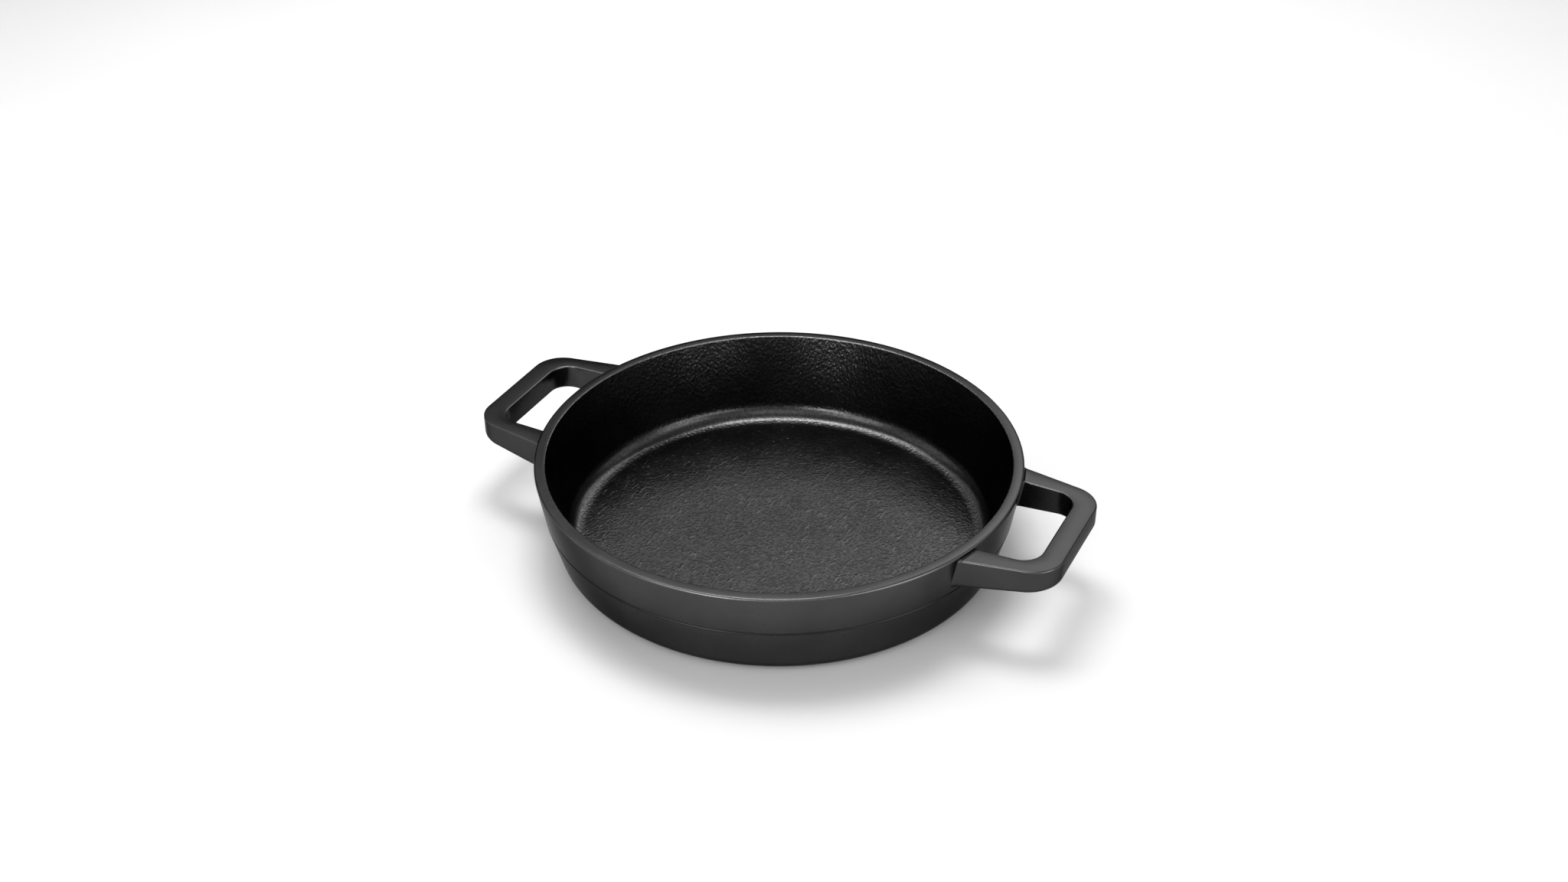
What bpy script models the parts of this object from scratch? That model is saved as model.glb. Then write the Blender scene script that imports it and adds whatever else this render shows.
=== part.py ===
"""Shallow round cast iron pan with two square-cornered loop handles.

Metres, +Z up. The origin is the centre of the flat base, and the handles lie along X.
"""

import math

import bmesh
import bpy
from mathutils import Vector

MM = 0.001

# Pan, outside
RIM_RADIUS = 130.0 * MM
HEIGHT = 53.5 * MM
CREASE_RADIUS = 126.0 * MM
CREASE_BELOW_RIM = 23.8 * MM
BASE_CORNER_RADIUS = 117.8 * MM
BASE_FILLET = 10.5 * MM

# Pan, inside
RIM_WIDTH = 6.2 * MM
FLOOR_THICKNESS = 3.3 * MM
FLOOR_CORNER_RADIUS = 115.0 * MM
COVE_FILLET = 11.5 * MM

# Fine edges
RIM_INNER_ROUND = 0.7 * MM
RIM_OUTER_ROUND = 1.2 * MM
CREASE_HALF_WIDTH = 0.4 * MM
CREASE_DEPTH = 0.4 * MM

# Handles: U is the distance outward from the pan's axis, V the distance to either side of the handle's centre
HANDLE_DROP = 2.6 * MM
HANDLE_ROOT_U = 110.0 * MM
HANDLE_WALL_THICKNESS = 16.0 * MM
HANDLE_TIP_THICKNESS = 12.2 * MM
HANDLE_OUTER_U = 167.5 * MM
HANDLE_OUTER_ROOT_V = 48.5 * MM
HANDLE_OUTER_TIP_V = 38.2 * MM
HANDLE_OUTER_FILLET = 16.7 * MM
HANDLE_INNER_U = 155.6 * MM
HANDLE_INNER_ROOT_V = 34.0 * MM
HANDLE_INNER_TIP_V = 32.2 * MM
HANDLE_INNER_FILLET = 11.6 * MM
HANDLE_TOP_ROUND = 0.9 * MM
HANDLE_LOWER_OUTER_ROUND = 3.0 * MM
HANDLE_LOWER_INNER_ROUND = 1.2 * MM
SEAM_GAP = 0.3 * MM

# Mesh fineness
PAN_STEPS = 96
LARGE_FILLET_STEPS = 6
FINE_FILLET_STEPS = 2
HANDLE_FILLET_STEPS = 8
MERGE_DISTANCE = 0.01 * MM
SHARP_ANGLE = math.radians(35)

# Looks of seasoned iron
BODY_COLOUR = (0.032, 0.032, 0.033, 1.0)
HANDLE_COLOUR = (0.038, 0.038, 0.039, 1.0)
BODY_ROUGHNESS = 0.5
HANDLE_ROUGHNESS = 0.45


def clear_scene():
    for obj in list(bpy.data.objects):
        bpy.data.objects.remove(obj, do_unlink=True)


def cast_iron(name, colour, roughness):
    material = bpy.data.materials.new(name)
    material.use_nodes = True
    shader = material.node_tree.nodes["Principled BSDF"]
    shader.inputs["Base Color"].default_value = colour
    shader.inputs["Roughness"].default_value = roughness
    shader.inputs["Metallic"].default_value = 0.0
    return material


def fillet(before, corner, after, radius, steps):
    """Points along the arc that rounds a corner of an outline."""
    to_before = (before - corner).normalized()
    to_after = (after - corner).normalized()
    half_angle = to_before.angle(to_after) / 2
    bisector = (to_before + to_after).normalized()
    centre = corner + bisector * radius / math.sin(half_angle)
    start = corner + to_before * radius / math.tan(half_angle) - centre
    end = corner + to_after * radius / math.tan(half_angle) - centre
    turn = start.angle_signed(end)
    points = []
    for step in range(steps + 1):
        angle = -turn * step / steps
        cosine = math.cos(angle)
        sine = math.sin(angle)
        points.append(centre + Vector((start.x * cosine - start.y * sine, start.x * sine + start.y * cosine)))
    return points


def rounded(corners):
    """An open outline from (x, y, fillet radius, fillet steps) corners; the first and last stay sharp."""
    places = [Vector(corner[:2]) for corner in corners]
    points = [places[0]]
    for index in range(1, len(corners) - 1):
        radius, steps = corners[index][2:]
        if radius:
            points += fillet(places[index - 1], places[index], places[index + 1], radius, steps)
        else:
            points.append(places[index])
    points.append(places[-1])
    return points


def mesh_object(name, mesh_source):
    mesh = bpy.data.meshes.new(name)
    mesh_source.to_mesh(mesh)
    mesh_source.free()
    obj = bpy.data.objects.new(name, mesh)
    bpy.context.scene.collection.objects.link(obj)
    return obj


def turned(name, outline):
    """A solid of revolution about Z; the outline's (radius, height) points run outward over the top."""
    source = bmesh.new()
    verts = [source.verts.new((point.x, 0.0, point.y)) for point in outline]
    for first, second in zip(verts, verts[1:]):
        source.edges.new((first, second))
    obj = mesh_object(name, source)
    screw = obj.modifiers.new("Turn", "SCREW")
    screw.steps = PAN_STEPS
    screw.render_steps = PAN_STEPS
    screw.use_merge_vertices = True
    screw.merge_threshold = MERGE_DISTANCE
    screw.use_smooth_shade = True
    return obj


def outer_wall_radius(height):
    """Radius of the outer wall's upper band at a height."""
    slope = (RIM_RADIUS - CREASE_RADIUS) / CREASE_BELOW_RIM
    return RIM_RADIUS - slope * (HEIGHT - height)


def pan_outline():
    crease_height = HEIGHT - CREASE_BELOW_RIM
    return rounded([
        (0.0, FLOOR_THICKNESS, 0.0, 0),
        (FLOOR_CORNER_RADIUS, FLOOR_THICKNESS, COVE_FILLET, LARGE_FILLET_STEPS),
        (RIM_RADIUS - RIM_WIDTH, HEIGHT, RIM_INNER_ROUND, FINE_FILLET_STEPS),
        (RIM_RADIUS, HEIGHT, RIM_OUTER_ROUND, FINE_FILLET_STEPS),
        (outer_wall_radius(crease_height + CREASE_HALF_WIDTH), crease_height + CREASE_HALF_WIDTH, 0.0, 0),
        (CREASE_RADIUS - CREASE_DEPTH, crease_height, 0.0, 0),
        (CREASE_RADIUS, crease_height - CREASE_HALF_WIDTH, 0.0, 0),
        (BASE_CORNER_RADIUS, 0.0, BASE_FILLET, LARGE_FILLET_STEPS),
        (0.0, 0.0, 0.0, 0),
    ])


def make_pan():
    pan = turned("pan_body", pan_outline())
    pan.data.materials.append(cast_iron("pan_body", BODY_COLOUR, BODY_ROUGHNESS))
    return pan


def loop_outline(root_v, tip_u, tip_v, radius):
    """One side of a handle's loop seen from above, in (U, V), out from the wall, round the tip and back."""
    return rounded([
        (HANDLE_ROOT_U, -root_v, 0.0, 0),
        (tip_u, -tip_v, radius, HANDLE_FILLET_STEPS),
        (tip_u, tip_v, radius, HANDLE_FILLET_STEPS),
        (HANDLE_ROOT_U, root_v, 0.0, 0),
    ])


def underside_height(u):
    """Height of the handle's underside, which rises towards the tip."""
    share = (u - RIM_RADIUS) / (HANDLE_OUTER_U - RIM_RADIUS)
    thickness = HANDLE_WALL_THICKNESS + share * (HANDLE_TIP_THICKNESS - HANDLE_WALL_THICKNESS)
    return HEIGHT - HANDLE_DROP - thickness


def edges_along(verts):
    """The mesh edges between each vertex of a path and the next."""
    edges = []
    for first, second in zip(verts, verts[1:]):
        edges += [edge for edge in first.link_edges if second in edge.verts]
    return edges


def round_edges(source, edges, radius):
    segments = FINE_FILLET_STEPS
    bmesh.ops.bevel(source, geom=edges, offset=radius, segments=segments, profile=0.5, affect="EDGES")


def handle_blank():
    """The loop, level on top, whose legs still run on into the pan's wall."""
    outer = loop_outline(HANDLE_OUTER_ROOT_V, HANDLE_OUTER_U, HANDLE_OUTER_TIP_V, HANDLE_OUTER_FILLET)
    inner = loop_outline(HANDLE_INNER_ROOT_V, HANDLE_INNER_U, HANDLE_INNER_TIP_V, HANDLE_INNER_FILLET)
    top_height = HEIGHT - HANDLE_DROP
    source = bmesh.new()
    lower_outer = [source.verts.new((point.x, point.y, underside_height(point.x))) for point in outer]
    lower_inner = [source.verts.new((point.x, point.y, underside_height(point.x))) for point in inner]
    upper_outer = [source.verts.new((point.x, point.y, top_height)) for point in outer]
    upper_inner = [source.verts.new((point.x, point.y, top_height)) for point in inner]
    rings = [upper_outer, lower_outer, lower_inner, upper_inner, upper_outer]
    for ring, next_ring in zip(rings, rings[1:]):
        for index in range(len(ring) - 1):
            source.faces.new((ring[index], next_ring[index], next_ring[index + 1], ring[index + 1]))
    for end in (0, -1):
        source.faces.new([ring[end] for ring in rings[:-1]])
    bmesh.ops.recalc_face_normals(source, faces=source.faces)
    round_edges(source, edges_along(lower_outer), HANDLE_LOWER_OUTER_ROUND)
    round_edges(source, edges_along(lower_inner), HANDLE_LOWER_INNER_ROUND)
    round_edges(source, edges_along(upper_outer) + edges_along(upper_inner), HANDLE_TOP_ROUND)
    return source


def wall_cutter():
    """The space that the pan takes up behind a handle, with the seam's gap added."""
    below = HEIGHT - CREASE_BELOW_RIM
    above = HEIGHT + RIM_WIDTH
    outline = [
        Vector((0.0, above)),
        Vector((outer_wall_radius(above) + SEAM_GAP, above)),
        Vector((outer_wall_radius(below) + SEAM_GAP, below)),
        Vector((0.0, below)),
    ]
    cutter = turned("wall_cutter", outline)
    cutter.hide_render = True
    cutter.display_type = "WIRE"
    return cutter


def make_handle(name, turn, cutter):
    handle = mesh_object(name, handle_blank())
    handle.rotation_euler.z = turn
    trim = handle.modifiers.new("Fit to wall", "BOOLEAN")
    trim.operation = "DIFFERENCE"
    trim.solver = "EXACT"
    trim.object = cutter
    handle.data.shade_smooth()
    handle.data.set_sharp_from_angle(angle=SHARP_ANGLE)
    handle.data.materials.append(cast_iron(name, HANDLE_COLOUR, HANDLE_ROUGHNESS))
    return handle


def main():
    clear_scene()
    make_pan()
    cutter = wall_cutter()
    make_handle("handle_right", 0.0, cutter)
    make_handle("handle_left", math.pi, cutter)


main()
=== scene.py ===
import math

import bpy
from mathutils import Matrix, Vector


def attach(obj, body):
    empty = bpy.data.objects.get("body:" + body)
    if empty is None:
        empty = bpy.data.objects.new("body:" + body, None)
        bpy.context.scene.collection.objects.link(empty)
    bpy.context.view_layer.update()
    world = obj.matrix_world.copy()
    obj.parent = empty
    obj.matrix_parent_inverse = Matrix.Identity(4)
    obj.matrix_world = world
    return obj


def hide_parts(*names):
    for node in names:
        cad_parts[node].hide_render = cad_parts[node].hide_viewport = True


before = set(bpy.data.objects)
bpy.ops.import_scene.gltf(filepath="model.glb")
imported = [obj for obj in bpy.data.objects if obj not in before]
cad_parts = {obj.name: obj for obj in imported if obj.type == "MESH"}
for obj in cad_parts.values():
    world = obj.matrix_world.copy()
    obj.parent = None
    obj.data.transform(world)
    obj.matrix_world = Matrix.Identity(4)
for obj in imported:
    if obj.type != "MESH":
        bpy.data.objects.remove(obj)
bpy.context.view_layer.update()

MM = 0.001

# Pan, as built in CAD
RIM_RADIUS = 130.0 * MM
HEIGHT = 53.5 * MM
CREASE_RADIUS = 126.0 * MM
CREASE_BELOW_RIM = 23.8 * MM
BASE_CORNER_RADIUS = 117.8 * MM
BASE_FILLET = 10.5 * MM
RIM_WIDTH = 6.2 * MM
FLOOR_THICKNESS = 3.3 * MM
FLOOR_CORNER_RADIUS = 115.0 * MM
COVE_FILLET = 11.5 * MM
RIM_INNER_ROUND = 0.7 * MM
RIM_OUTER_ROUND = 1.2 * MM
CREASE_HALF_WIDTH = 0.4 * MM
CREASE_DEPTH = 0.4 * MM

# Handles, as built in CAD: U runs outward from the pan's axis, V to either side
HANDLE_DROP = 2.6 * MM
HANDLE_ROOT_U = 110.0 * MM
HANDLE_WALL_THICKNESS = 16.0 * MM
HANDLE_TIP_THICKNESS = 12.2 * MM
HANDLE_OUTER_U = 167.5 * MM
HANDLE_OUTER_ROOT_V = 48.5 * MM
HANDLE_OUTER_TIP_V = 38.2 * MM
HANDLE_OUTER_FILLET = 16.7 * MM
HANDLE_INNER_U = 155.6 * MM
HANDLE_INNER_ROOT_V = 34.0 * MM
HANDLE_INNER_TIP_V = 32.2 * MM
HANDLE_INNER_FILLET = 11.6 * MM
HANDLE_TOP_ROUND = 0.9 * MM
HANDLE_LOWER_OUTER_ROUND = 3.0 * MM
HANDLE_LOWER_INNER_ROUND = 1.2 * MM

# The small flare that joins a handle to the wall, which the CAD leaves out
ROOT_FILLET = 1.6 * MM
ROOT_SINK = 0.1 * MM
ROOT_SEARCH_STEPS = 12

# Mesh fineness
PAN_STEPS = 288
LARGE_ARC_STEPS = 16
FINE_ARC_STEPS = 5
HANDLE_CORNER_STEPS = 24
LEG_STEPS = 14
ROOT_STEPS = 8
HANDLE_SHARP_ANGLE = math.radians(40)

# Seasoned iron: base colour of a fully metallic shader, and the grey of its glancing tint
OUTSIDE_TONE = 0.054
HANDLE_TONE = 0.049
INSIDE_TONE = 0.059
OUTSIDE_GLANCE = 0.42
INSIDE_GLANCE = 0.38
EDGE_WEAR_AND_HIGHLIGHT = 1.7             # share that a worn edge is lighter than its surroundings, partly real wear and partly a painted highlight
GROOVE_PAINTED_SHADE = 0.5          # share of painted shade by which the groove is darker than the wall
WALL_LIFT = 1.15            # the outer wall's lightness over that of the rim's top, which is kept darker as a painted shade
CLOUD_RANGE = (0.3, 0.7)    # the values of a slow noise that a change is spread over
CLOUD_SHADE = (0.93, 1.07)

# Satin iron, outside and on the handles
OUTSIDE_CLOUD_SIZE = 30 * MM
OUTSIDE_FINE_SIZE = 0.5 * MM
OUTSIDE_FINE_RELIEF = 0.012 * MM
OUTSIDE_WAVE_SIZE = 12 * MM
OUTSIDE_WAVE_RELIEF = 0.05 * MM
SPECK_SPACING = 9 * MM
SPECK_RANGE = (0.035, 0.02)
SPECK_RELIEF = -0.08 * MM
OUTSIDE_ROUGHNESS = (0.23, 0.27)
FINE_RANGE = (0.2, 0.8)
FINE_ROUGHNESS = (-0.03, 0.03)

# Cooking surface: the heights between which each texture comes in, then the textures
FLOOR_TEXTURE = (FLOOR_THICKNESS + 1.4 * MM, FLOOR_THICKNESS + 0.2 * MM)
WALL_TEXTURE = (FLOOR_THICKNESS + 5.0 * MM, FLOOR_THICKNESS + 9.0 * MM)
RAGGED_SIZE = 2 * MM
RAGGED_REACH = 0.4 * MM
INSIDE_CLOUD_SIZE = 26 * MM
GRAIN_SIZE = 1.3 * MM
GRAIN_RELIEF = 2.3
GRAIN_RANGE = (0.35, 0.65)
GRAIN_SHADE = (0.8, 1.2)
SCRATCH_SIZE = 1.9 * MM
SCRATCH_STRETCH = (1.0, 0.3, 1.0)
SCRATCH_RANGE = (0.60, 0.72)
SCRATCH_RELIEF = 0.8
SCRATCH_SHADE = 0.25
PIT_SPACING = 3.6 * MM
PIT_RANGE = (0.16, 0.05)
PIT_SHADE = 0.4
PEBBLE_SIZE = 1.2 * MM
PEBBLE_STRETCH = (1.0, 1.0, 0.6)
PEBBLE_RELIEF = 2.6
INSIDE_ROUGHNESS = (0.20, 0.24)
FLOOR_ROUGHNESS_MORE = 0.02
INSIDE_FINE_SIZE = 0.6 * MM
INSIDE_FINE_RELIEF = 0.015 * MM
INSIDE_RELIEF = 0.08 * MM

# Studio
STAGE_REACH = 6.0
STAGE_SHADE = (0.78, 0.80)
STAGE_CLOUD_SIZE = 0.4
STAGE_ROUGHNESS = 0.9
STAGE_GRAIN_SIZE = 2 * MM
STAGE_GRAIN_RELIEF = 0.01 * MM
WORLD_TURN = (-0.6, 0.7)        # from behind the pan to behind the camera, as a cosine
WORLD_STRENGTH = (0.08, 0.52)

# Camera, about the middle of the rim
CAMERA_AZIMUTH = math.radians(26.17)
CAMERA_ELEVATION = math.radians(33.0)
CAMERA_DISTANCE = 7.797 * RIM_RADIUS
CAMERA_LENS = 43.8
CAMERA_SENSOR = 36.0
CAMERA_CLIP_START = 10 * MM
CAMERA_ROLL = math.radians(-0.07)
AIM_RIGHT = 2.6 * MM
AIM_UP = 5.5 * MM


# ---------------------------------------------------------------- outlines

def fillet(before, corner, after, radius, steps):
    """Points along the arc that rounds a corner of an outline."""
    to_before = (before - corner).normalized()
    to_after = (after - corner).normalized()
    half_angle = to_before.angle(to_after) / 2
    bisector = (to_before + to_after).normalized()
    centre = corner + bisector * radius / math.sin(half_angle)
    start = corner + to_before * radius / math.tan(half_angle) - centre
    end = corner + to_after * radius / math.tan(half_angle) - centre
    turn = start.angle_signed(end)
    points = []
    for step in range(steps + 1):
        angle = -turn * step / steps
        cosine = math.cos(angle)
        sine = math.sin(angle)
        arm = Vector((start.x * cosine - start.y * sine, start.x * sine + start.y * cosine))
        points.append(centre + arm)
    return points


def rounded(corners):
    """An open outline from (x, y, fillet radius, fillet steps) corners; its two ends stay sharp."""
    places = [Vector(corner[:2]) for corner in corners]
    points = [places[0]]
    for index in range(1, len(corners) - 1):
        radius, steps = corners[index][2:]
        if radius:
            points += fillet(places[index - 1], places[index], places[index + 1], radius, steps)
        else:
            points.append(places[index])
    points.append(places[-1])
    return points


def spread(start, end, steps):
    """Evenly spaced points from start to end, both included."""
    return [start.lerp(end, step / steps) for step in range(steps + 1)]


# ---------------------------------------------------------------- pan

def outer_wall_radius(height):
    slope = (RIM_RADIUS - CREASE_RADIUS) / CREASE_BELOW_RIM
    return RIM_RADIUS - slope * (HEIGHT - height)


def inside_outline():
    """From the middle of the floor to the rim's inner edge."""
    return rounded([
        (0.0, FLOOR_THICKNESS, 0.0, 0),
        (FLOOR_CORNER_RADIUS, FLOOR_THICKNESS, COVE_FILLET, LARGE_ARC_STEPS),
        (RIM_RADIUS - RIM_WIDTH, HEIGHT, RIM_INNER_ROUND, FINE_ARC_STEPS),
        (RIM_RADIUS, HEIGHT, 0.0, 0),
    ])[:-1]


def outside_outline():
    """From the rim's outer edge down to the middle of the base."""
    crease_height = HEIGHT - CREASE_BELOW_RIM
    crease_top = crease_height + CREASE_HALF_WIDTH
    upper = Vector((outer_wall_radius(crease_top), crease_top))
    lower = Vector((CREASE_RADIUS, crease_height - CREASE_HALF_WIDTH))
    return rounded([
        (RIM_RADIUS - RIM_WIDTH, HEIGHT, 0.0, 0),
        (RIM_RADIUS, HEIGHT, RIM_OUTER_ROUND, FINE_ARC_STEPS),
        (upper.x, upper.y, CREASE_HALF_WIDTH, FINE_ARC_STEPS),
        (CREASE_RADIUS - CREASE_DEPTH, crease_height, CREASE_HALF_WIDTH / 4, FINE_ARC_STEPS),
        (lower.x, lower.y, CREASE_HALF_WIDTH, FINE_ARC_STEPS),
        (BASE_CORNER_RADIUS, 0.0, BASE_FILLET, LARGE_ARC_STEPS),
        (0.0, 0.0, 0.0, 0),
    ])[1:]


def turned_faces(count, steps):
    """Faces between count rings of steps vertices, where the first and last are single points."""
    faces = []
    first_ring = 1
    for step in range(steps):
        ahead = (step + 1) % steps
        faces.append((0, first_ring + step, first_ring + ahead))
    for ring in range(count - 3):
        near = first_ring + ring * steps
        far = near + steps
        for step in range(steps):
            ahead = (step + 1) % steps
            faces.append((near + step, far + step, far + ahead, near + ahead))
    last_ring = first_ring + (count - 3) * steps
    last_point = last_ring + steps
    for step in range(steps):
        ahead = (step + 1) % steps
        faces.append((last_ring + step, last_point, last_ring + ahead))
    return faces


def make_pan(inside_material, outside_material):
    inside = inside_outline()
    outline = inside + outside_outline()
    points = [(0.0, 0.0, outline[0].y)]
    for place in outline[1:-1]:
        for step in range(PAN_STEPS):
            angle = 2 * math.pi * step / PAN_STEPS
            points.append((place.x * math.cos(angle), place.x * math.sin(angle), place.y))
    points.append((0.0, 0.0, outline[-1].y))
    faces = turned_faces(len(outline), PAN_STEPS)
    mesh = bpy.data.meshes.new("pan")
    mesh.from_pydata(points, [], faces)
    mesh.materials.append(inside_material)
    mesh.materials.append(outside_material)
    inside_faces = (len(inside) - 1) * PAN_STEPS
    for index, polygon in enumerate(mesh.polygons):
        polygon.use_smooth = True
        polygon.material_index = 0 if index < inside_faces else 1
    pan = bpy.data.objects.new("pan", mesh)
    bpy.context.scene.collection.objects.link(pan)
    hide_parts("pan_body")
    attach(pan, "root")


# ---------------------------------------------------------------- handles

def underside_height(u):
    """Height of the handle's underside, which rises towards the tip."""
    share = (u - RIM_RADIUS) / (HANDLE_OUTER_U - RIM_RADIUS)
    thickness = HANDLE_WALL_THICKNESS + share * (HANDLE_TIP_THICKNESS - HANDLE_WALL_THICKNESS)
    return HEIGHT - HANDLE_DROP - thickness


def loop_path(root_v, tip_u, tip_v, radius):
    """One edge of the loop from above: two straight legs, with the tip's rounded corners between."""
    corners = rounded([
        (HANDLE_ROOT_U, -root_v, 0.0, 0),
        (tip_u, -tip_v, radius, HANDLE_CORNER_STEPS),
        (tip_u, tip_v, radius, HANDLE_CORNER_STEPS),
        (HANDLE_ROOT_U, root_v, 0.0, 0),
    ])
    half = HANDLE_CORNER_STEPS + 2
    grip = spread(corners[half - 1], corners[half], LEG_STEPS)
    return corners[:half] + grip[1:-1] + corners[half:]


def section(outer, inner):
    """A handle's rounded section between its outer and inner edges, and the section's normals."""
    across = (outer - inner).to_3d().normalized()
    width = (outer - inner).length
    top = HEIGHT - HANDLE_DROP
    low_outer = underside_height(outer.x)
    low_inner = underside_height(inner.x)
    flat = rounded([
        (width / 2, top, 0.0, 0),
        (0.0, top, HANDLE_TOP_ROUND, FINE_ARC_STEPS),
        (0.0, low_inner, HANDLE_LOWER_INNER_ROUND, FINE_ARC_STEPS),
        (width, low_outer, HANDLE_LOWER_OUTER_ROUND, 2 * FINE_ARC_STEPS),
        (width, top, HANDLE_TOP_ROUND, FINE_ARC_STEPS),
        (width / 2, top, 0.0, 0),
    ])[:-1]
    points = [inner.to_3d() + across * place.x + Vector((0.0, 0.0, place.y)) for place in flat]
    normals = []
    for index in range(len(flat)):
        along = flat[(index + 1) % len(flat)] - flat[index - 1]
        normals.append((across * -along.y + Vector((0.0, 0.0, along.x))).normalized() * -1)
    return points, normals


def wall_reach(start, direction):
    """How far from start, along direction, a leg's line meets the pan's outer wall."""
    reach = 0.0
    for _ in range(ROOT_SEARCH_STEPS):
        place = start + direction * reach
        radius = math.hypot(place.x, place.y)
        wall = outer_wall_radius(place.z) - ROOT_SINK
        slant = (place.x * direction.x + place.y * direction.y) / radius
        reach += (wall - radius) / slant
    return reach


def root_stations(leg_end, root):
    """Sections along a leg, from the wall outward; the first few flare into a small fillet."""
    end_points, normals = leg_end
    root_points = root[0]
    stations = []
    for step in range(ROOT_STEPS + 1):
        gap = ROOT_FILLET * (1 - math.cos(math.pi / 2 * step / ROOT_STEPS))
        flare = ROOT_FILLET - math.sqrt(max(ROOT_FILLET ** 2 - (ROOT_FILLET - gap) ** 2, 0.0))
        station = []
        for end_point, root_point, normal in zip(end_points, root_points, normals):
            outward = (end_point - root_point).normalized()
            start = root_point + normal * flare
            station.append(start + outward * (wall_reach(start, outward) + gap))
        stations.append(station)
    last = stations[-1]
    for step in range(1, LEG_STEPS):
        share = step / LEG_STEPS
        stations.append([point.lerp(end, share) for point, end in zip(last, end_points)])
    return stations


def handle_stations():
    """All sections of a loop handle in order, from one root round the tip to the other."""
    outer = loop_path(
        HANDLE_OUTER_ROOT_V, HANDLE_OUTER_U, HANDLE_OUTER_TIP_V, HANDLE_OUTER_FILLET)
    inner = loop_path(
        HANDLE_INNER_ROOT_V, HANDLE_INNER_U, HANDLE_INNER_TIP_V, HANDLE_INNER_FILLET)
    sections = [section(outside, inside) for outside, inside in zip(outer, inner)]
    near_leg = root_stations(sections[1], sections[0])
    far_leg = root_stations(sections[-2], sections[-1])
    loop = [points for points, _ in sections[1:-1]]
    return near_leg + loop + far_leg[::-1]


def make_handle(name, node, turn, material):
    stations = handle_stations()
    around = len(stations[0])
    rotation = Matrix.Rotation(turn, 3, "Z")
    points = [rotation @ point for station in stations for point in station]
    faces = []
    for row in range(len(stations) - 1):
        for index in range(around):
            ahead = (index + 1) % around
            near = row * around
            far = near + around
            faces.append((near + index, near + ahead, far + ahead, far + index))
    faces.append(tuple(range(around))[::-1])
    faces.append(tuple(range((len(stations) - 1) * around, len(stations) * around)))
    mesh = bpy.data.meshes.new(name)
    mesh.from_pydata(points, [], faces)
    mesh.materials.append(material)
    mesh.shade_smooth()
    mesh.set_sharp_from_angle(angle=HANDLE_SHARP_ANGLE)
    handle = bpy.data.objects.new(name, mesh)
    bpy.context.scene.collection.objects.link(handle)
    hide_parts(node)
    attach(handle, "root")


# ---------------------------------------------------------------- materials

class Graph:
    """A material's node tree, with one short call for each kind of node."""

    def __init__(self, name):
        self.material = bpy.data.materials.new(name)
        self.material.use_nodes = True
        self.nodes = self.material.node_tree.nodes
        self.links = self.material.node_tree.links
        self.shader = self.nodes["Principled BSDF"]
        self.place = self.nodes.new("ShaderNodeTexCoord").outputs["Object"]

    def feed(self, socket, value):
        if isinstance(value, bpy.types.NodeSocket):
            self.links.new(value, socket)
        else:
            socket.default_value = value

    def math(self, operation, first, second=0.0):
        node = self.nodes.new("ShaderNodeMath")
        node.operation = operation
        self.feed(node.inputs[0], first)
        self.feed(node.inputs[1], second)
        return node.outputs[0]

    def ramp(self, value, low, high, to_low=0.0, to_high=1.0):
        """A smooth step from to_low, where value is low, to to_high, where it is high."""
        node = self.nodes.new("ShaderNodeMapRange")
        node.interpolation_type = "SMOOTHSTEP"
        self.feed(node.inputs["Value"], value)
        node.inputs["From Min"].default_value = low
        node.inputs["From Max"].default_value = high
        node.inputs["To Min"].default_value = to_low
        node.inputs["To Max"].default_value = to_high
        return node.outputs["Result"]

    def lighten(self, shade, mask, share):
        """The shade, times 1 + share where the mask is 1; a share below 0 darkens."""
        gain = self.math("ADD", self.math("MULTIPLY", mask, share), 1.0)
        return self.math("MULTIPLY", shade, gain)

    def noise(self, size, detail=3.0, roughness=0.5, stretch=(1.0, 1.0, 1.0)):
        """Noise whose features are about size metres across."""
        mapping = self.nodes.new("ShaderNodeMapping")
        mapping.inputs["Scale"].default_value = stretch
        self.links.new(self.place, mapping.inputs["Vector"])
        node = self.nodes.new("ShaderNodeTexNoise")
        self.links.new(mapping.outputs["Vector"], node.inputs["Vector"])
        node.inputs["Scale"].default_value = 1.0 / size
        node.inputs["Detail"].default_value = detail
        node.inputs["Roughness"].default_value = roughness
        return node.outputs["Fac"]

    def cells(self, size):
        """Distance to the nearest of many points about size metres apart, in cell widths."""
        node = self.nodes.new("ShaderNodeTexVoronoi")
        self.links.new(self.place, node.inputs["Vector"])
        node.inputs["Scale"].default_value = 1.0 / size
        return node.outputs["Distance"]

    def height(self):
        split = self.nodes.new("ShaderNodeSeparateXYZ")
        self.links.new(self.place, split.inputs[0])
        return split.outputs["Z"]

    def bump(self, height, distance, below=None):
        """The normal of a relief, distance metres deep where height is 1, on top of below."""
        node = self.nodes.new("ShaderNodeBump")
        node.inputs["Distance"].default_value = distance
        self.links.new(height, node.inputs["Height"])
        if below:
            self.links.new(below, node.inputs["Normal"])
        return node.outputs["Normal"]

    def grey(self, value):
        node = self.nodes.new("ShaderNodeCombineColor")
        for name in ("Red", "Green", "Blue"):
            self.feed(node.inputs[name], value)
        return node.outputs["Color"]

    def finish(self, tone, roughness, normal, metallic, glance=1.0):
        self.links.new(self.grey(tone), self.shader.inputs["Base Color"])
        self.feed(self.shader.inputs["Roughness"], roughness)
        self.shader.inputs["Metallic"].default_value = metallic
        self.shader.inputs["Specular Tint"].default_value = (glance, glance, glance, 1.0)
        self.links.new(normal, self.shader.inputs["Normal"])
        return self.material


def worn_and_highlit_edge(graph, height, top, depth):
    """A band just below a flat top, on the rounded edge that is painted lighter: partly wear where
    handling has polished it, partly a painted highlight.
    """
    below = graph.ramp(height, top - depth, top - depth / 2)
    above = graph.ramp(height, top - depth / 20, top - depth / 6)
    return graph.math("MULTIPLY", below, above)


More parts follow.
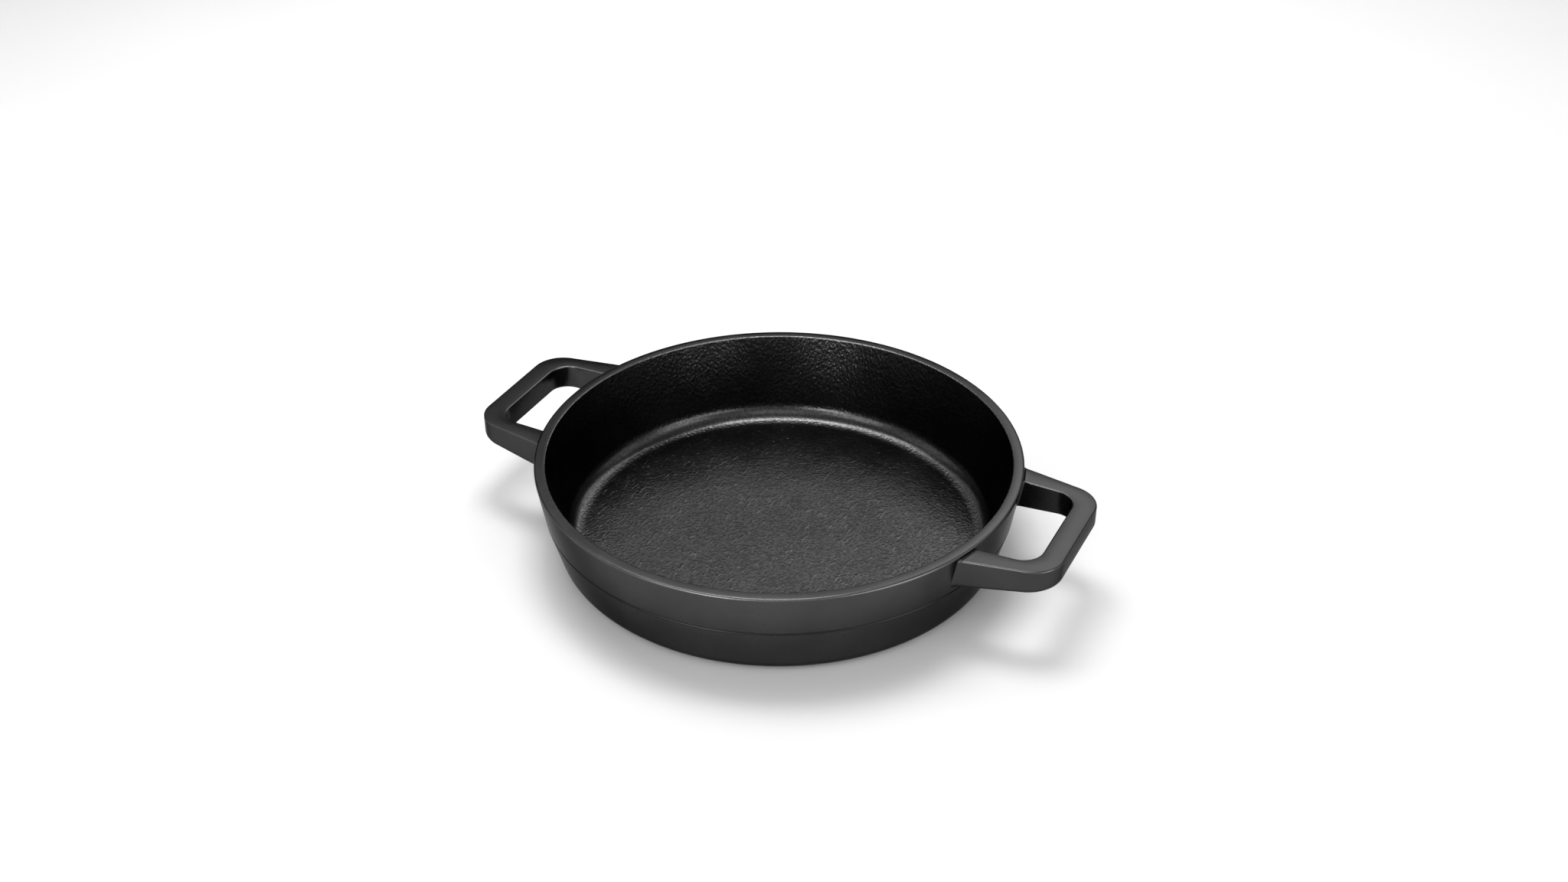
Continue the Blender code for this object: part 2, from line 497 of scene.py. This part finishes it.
def smooth_iron(name, tone, top, edge, groove):
    """Satin seasoned iron with a faint cast waviness and a few specks, outside and on handles."""
    graph = Graph(name)
    height = graph.height()
    cloud = graph.noise(OUTSIDE_CLOUD_SIZE, 4.0)
    fine = graph.noise(OUTSIDE_FINE_SIZE, 3.0, 0.6)
    shade = graph.ramp(cloud, *CLOUD_RANGE, *CLOUD_SHADE)
    # Worn edge painted lighter: partly real wear, partly a painted highlight on the rounded edge.
    shade = graph.lighten(shade, worn_and_highlit_edge(graph, height, top, edge), EDGE_WEAR_AND_HIGHLIGHT)
    if groove:
        # Painted shade: the groove is painted darker, where shade falls in the crease.
        away = graph.math("SUBTRACT", height, HEIGHT - CREASE_BELOW_RIM)
        away = graph.math("ABSOLUTE", away)
        groove_painted_shade = graph.ramp(away, 3 * CREASE_HALF_WIDTH, CREASE_HALF_WIDTH)
        shade = graph.lighten(shade, groove_painted_shade, -GROOVE_PAINTED_SHADE)
        # Painted shade on the rim's top: the outer wall below it is painted lighter than the top.
        wall = graph.ramp(height, top - 1.5 * edge, top - edge / 2, WALL_LIFT, 1.0)
        shade = graph.math("MULTIPLY", shade, wall)
    roughness = graph.math(
        "ADD",
        graph.ramp(cloud, *CLOUD_RANGE, *OUTSIDE_ROUGHNESS),
        graph.ramp(fine, *FINE_RANGE, *FINE_ROUGHNESS))
    speck = graph.ramp(graph.cells(SPECK_SPACING), *SPECK_RANGE)
    normal = graph.bump(fine, OUTSIDE_FINE_RELIEF)
    normal = graph.bump(graph.noise(OUTSIDE_WAVE_SIZE, 2.0), OUTSIDE_WAVE_RELIEF, normal)
    normal = graph.bump(speck, SPECK_RELIEF, normal)
    shade = graph.math("MULTIPLY", shade, tone)
    return graph.finish(shade, roughness, normal, 1.0, OUTSIDE_GLANCE)


def cooking_iron(name):
    """The inside: fine cast grain with pits and a few scratches on the floor, and a pebbled wall."""
    graph = Graph(name)
    height = graph.height()
    wander = graph.ramp(
        graph.noise(RAGGED_SIZE, 2.0), 0.0, 1.0, -RAGGED_REACH, RAGGED_REACH)
    ragged = graph.math("ADD", height, wander)
    floor = graph.ramp(ragged, *FLOOR_TEXTURE)
    wall = graph.ramp(ragged, *WALL_TEXTURE)
    cloud = graph.noise(INSIDE_CLOUD_SIZE, 5.0, 0.6)
    grain = graph.noise(GRAIN_SIZE, 1.5, 0.4)
    scratch = graph.noise(SCRATCH_SIZE, 1.0, 0.4, SCRATCH_STRETCH)
    scratch = graph.ramp(scratch, *SCRATCH_RANGE)
    pebble = graph.noise(PEBBLE_SIZE, 1.5, 0.4, PEBBLE_STRETCH)
    pit = graph.ramp(graph.cells(PIT_SPACING), *PIT_RANGE)

    floor_relief = graph.math(
        "ADD",
        graph.math("MULTIPLY", grain, GRAIN_RELIEF),
        graph.math("MULTIPLY", scratch, SCRATCH_RELIEF))
    floor_relief = graph.math("SUBTRACT", floor_relief, pit)
    wall_relief = graph.math("MULTIPLY", pebble, PEBBLE_RELIEF)
    relief = graph.math(
        "ADD",
        graph.math("MULTIPLY", floor_relief, floor),
        graph.math("MULTIPLY", wall_relief, wall))
    normal = graph.bump(graph.noise(INSIDE_FINE_SIZE, 2.0, 0.4), INSIDE_FINE_RELIEF)
    normal = graph.bump(relief, INSIDE_RELIEF, normal)

    shade = graph.ramp(cloud, *CLOUD_RANGE, *CLOUD_SHADE)
    shade = graph.math("MULTIPLY", shade, graph.ramp(grain, *GRAIN_RANGE, *GRAIN_SHADE))
    shade = graph.lighten(shade, scratch, SCRATCH_SHADE)
    shade = graph.lighten(shade, pit, -PIT_SHADE)
    # The rim's inner rounded edge painted lighter: partly real wear, partly a painted highlight.
    shade = graph.lighten(shade, worn_and_highlit_edge(graph, height, HEIGHT, RIM_INNER_ROUND), EDGE_WEAR_AND_HIGHLIGHT)
    shade = graph.math("MULTIPLY", shade, INSIDE_TONE)

    roughness = graph.math(
        "ADD",
        graph.ramp(cloud, *CLOUD_RANGE, *INSIDE_ROUGHNESS),
        graph.math("MULTIPLY", floor, FLOOR_ROUGHNESS_MORE))
    return graph.finish(shade, roughness, normal, 1.0, INSIDE_GLANCE)


def pale_surface():
    """The matt studio floor."""
    graph = Graph("studio_floor")
    shade = graph.ramp(graph.noise(STAGE_CLOUD_SIZE, 2.0), *CLOUD_RANGE, *STAGE_SHADE)
    normal = graph.bump(graph.noise(STAGE_GRAIN_SIZE), STAGE_GRAIN_RELIEF)
    return graph.finish(shade, STAGE_ROUGHNESS, normal, 0.0)


# ---------------------------------------------------------------- studio

def make_floor():
    corners = [
        (across * STAGE_REACH, along * STAGE_REACH, 0.0)
        for across, along in ((-1, -1), (1, -1), (1, 1), (-1, 1))
    ]
    mesh = bpy.data.meshes.new("studio_floor")
    mesh.from_pydata(corners, [], [(0, 1, 2, 3)])
    mesh.materials.append(pale_surface())
    floor = bpy.data.objects.new("studio_floor", mesh)
    bpy.context.scene.collection.objects.link(floor)


def view_axes():
    """The camera's right, up and backward directions, and the point it circles."""
    turn = Matrix.Rotation(CAMERA_AZIMUTH, 3, "Z")
    back = turn @ Vector((0.0, -math.cos(CAMERA_ELEVATION), math.sin(CAMERA_ELEVATION)))
    right = turn @ Vector((1.0, 0.0, 0.0))
    return right, back.cross(right), back, Vector((0.0, 0.0, HEIGHT))


def make_camera():
    right, up, back, centre = view_axes()
    place = centre + back * CAMERA_DISTANCE
    aim = centre + right * AIM_RIGHT + up * AIM_UP
    data = bpy.data.cameras.new("camera")
    data.lens = CAMERA_LENS
    data.sensor_width = CAMERA_SENSOR
    data.clip_start = CAMERA_CLIP_START
    camera = bpy.data.objects.new("camera", data)
    bpy.context.scene.collection.objects.link(camera)
    facing = (aim - place).to_track_quat("-Z", "Y").to_matrix().to_4x4()
    camera.matrix_world = Matrix.Translation(place) @ facing @ Matrix.Rotation(CAMERA_ROLL, 4, "Z")
    bpy.context.scene.camera = camera


def softbox(name, azimuth, elevation, distance, width, height, power):
    """An area light of power watts that faces the pan, by degrees and metres.

    Azimuth 0 is on the camera's side, and it turns towards the camera's right.
    """
    angle = CAMERA_AZIMUTH + math.radians(azimuth)
    lift = math.radians(elevation)
    level = Vector((math.sin(angle), -math.cos(angle), 0.0))
    toward = level * math.cos(lift) + Vector((0.0, 0.0, math.sin(lift)))
    data = bpy.data.lights.new(name, "AREA")
    data.shape = "RECTANGLE"
    data.size = width
    data.size_y = height
    data.energy = power
    light = bpy.data.objects.new(name, data)
    bpy.context.scene.collection.objects.link(light)
    facing = toward.to_track_quat("Z", "Y").to_matrix().to_4x4()
    light.matrix_world = Matrix.Translation(toward * distance) @ facing


def make_world():
    """A soft studio all round, brighter on the camera's side than behind the pan."""
    world = bpy.data.worlds.new("studio")
    world.use_nodes = True
    nodes = world.node_tree.nodes
    links = world.node_tree.links
    direction = nodes.new("ShaderNodeTexCoord")
    facing = nodes.new("ShaderNodeVectorMath")
    facing.operation = "DOT_PRODUCT"
    facing.inputs[1].default_value = (math.sin(CAMERA_AZIMUTH), -math.cos(CAMERA_AZIMUTH), 0.0)
    strength = nodes.new("ShaderNodeMapRange")
    strength.interpolation_type = "SMOOTHSTEP"
    strength.inputs["From Min"].default_value = WORLD_TURN[0]
    strength.inputs["From Max"].default_value = WORLD_TURN[1]
    strength.inputs["To Min"].default_value = WORLD_STRENGTH[0]
    strength.inputs["To Max"].default_value = WORLD_STRENGTH[1]
    links.new(direction.outputs["Generated"], facing.inputs[0])
    links.new(facing.outputs["Value"], strength.inputs["Value"])
    links.new(strength.outputs["Result"], nodes["Background"].inputs["Strength"])
    nodes["Background"].inputs["Color"].default_value = (1.0, 1.0, 1.0, 1.0)
    bpy.context.scene.world = world


def make_light():
    make_world()
    softbox("top_light", 180.0, 84.0, 1.5, 0.55, 0.55, 3.0)
    softbox("back_light", 180.0, 75.0, 1.5, 0.55, 0.55, 7.5)
    softbox("back_band_light", 178.0, 56.0, 1.5, 1.4, 0.3, 2.6)
    softbox("back_left_light", 224.0, 67.0, 1.5, 0.55, 0.55, 5.2)
    softbox("back_right_fill", 150.0, 38.0, 1.6, 0.8, 0.6, 2.7)
    softbox("back_fill", 173.0, 40.0, 1.6, 0.8, 0.6, 2.1)
    softbox("back_left_fill", 210.0, 38.0, 1.6, 0.8, 0.6, 1.2)
    softbox("front_fill", 0.0, 50.0, 1.9, 0.9, 0.7, 1.5)
    softbox("front_right_fill", 60.0, 37.0, 1.7, 0.7, 0.6, 2.2)
    softbox("front_left_fill", 315.0, 35.0, 1.7, 0.8, 0.8, 4.5)
    softbox("front_left_strip", 334.0, 16.0, 1.6, 0.5, 0.6, 5.0)
    softbox("front_right_strip", 45.0, 16.0, 1.6, 1.1, 0.6, 4.5)
    softbox("right_fill", 100.0, 35.0, 1.6, 0.8, 0.8, 1.0)
    softbox("left_fill", 260.0, 35.0, 1.6, 0.8, 0.8, 1.2)
    bpy.context.scene.view_settings.view_transform = "Standard"


def main():
    outside = smooth_iron(
        "iron_outside", OUTSIDE_TONE, HEIGHT, RIM_OUTER_ROUND, groove=True)
    inside = cooking_iron("iron_inside")
    handles = smooth_iron(
        "iron_handles", HANDLE_TONE, HEIGHT - HANDLE_DROP, HANDLE_TOP_ROUND, groove=False)
    make_pan(inside, outside)
    make_handle("right_handle", "handle_right", 0.0, handles)
    make_handle("left_handle", "handle_left", math.pi, handles)
    make_floor()
    make_camera()
    make_light()


main()
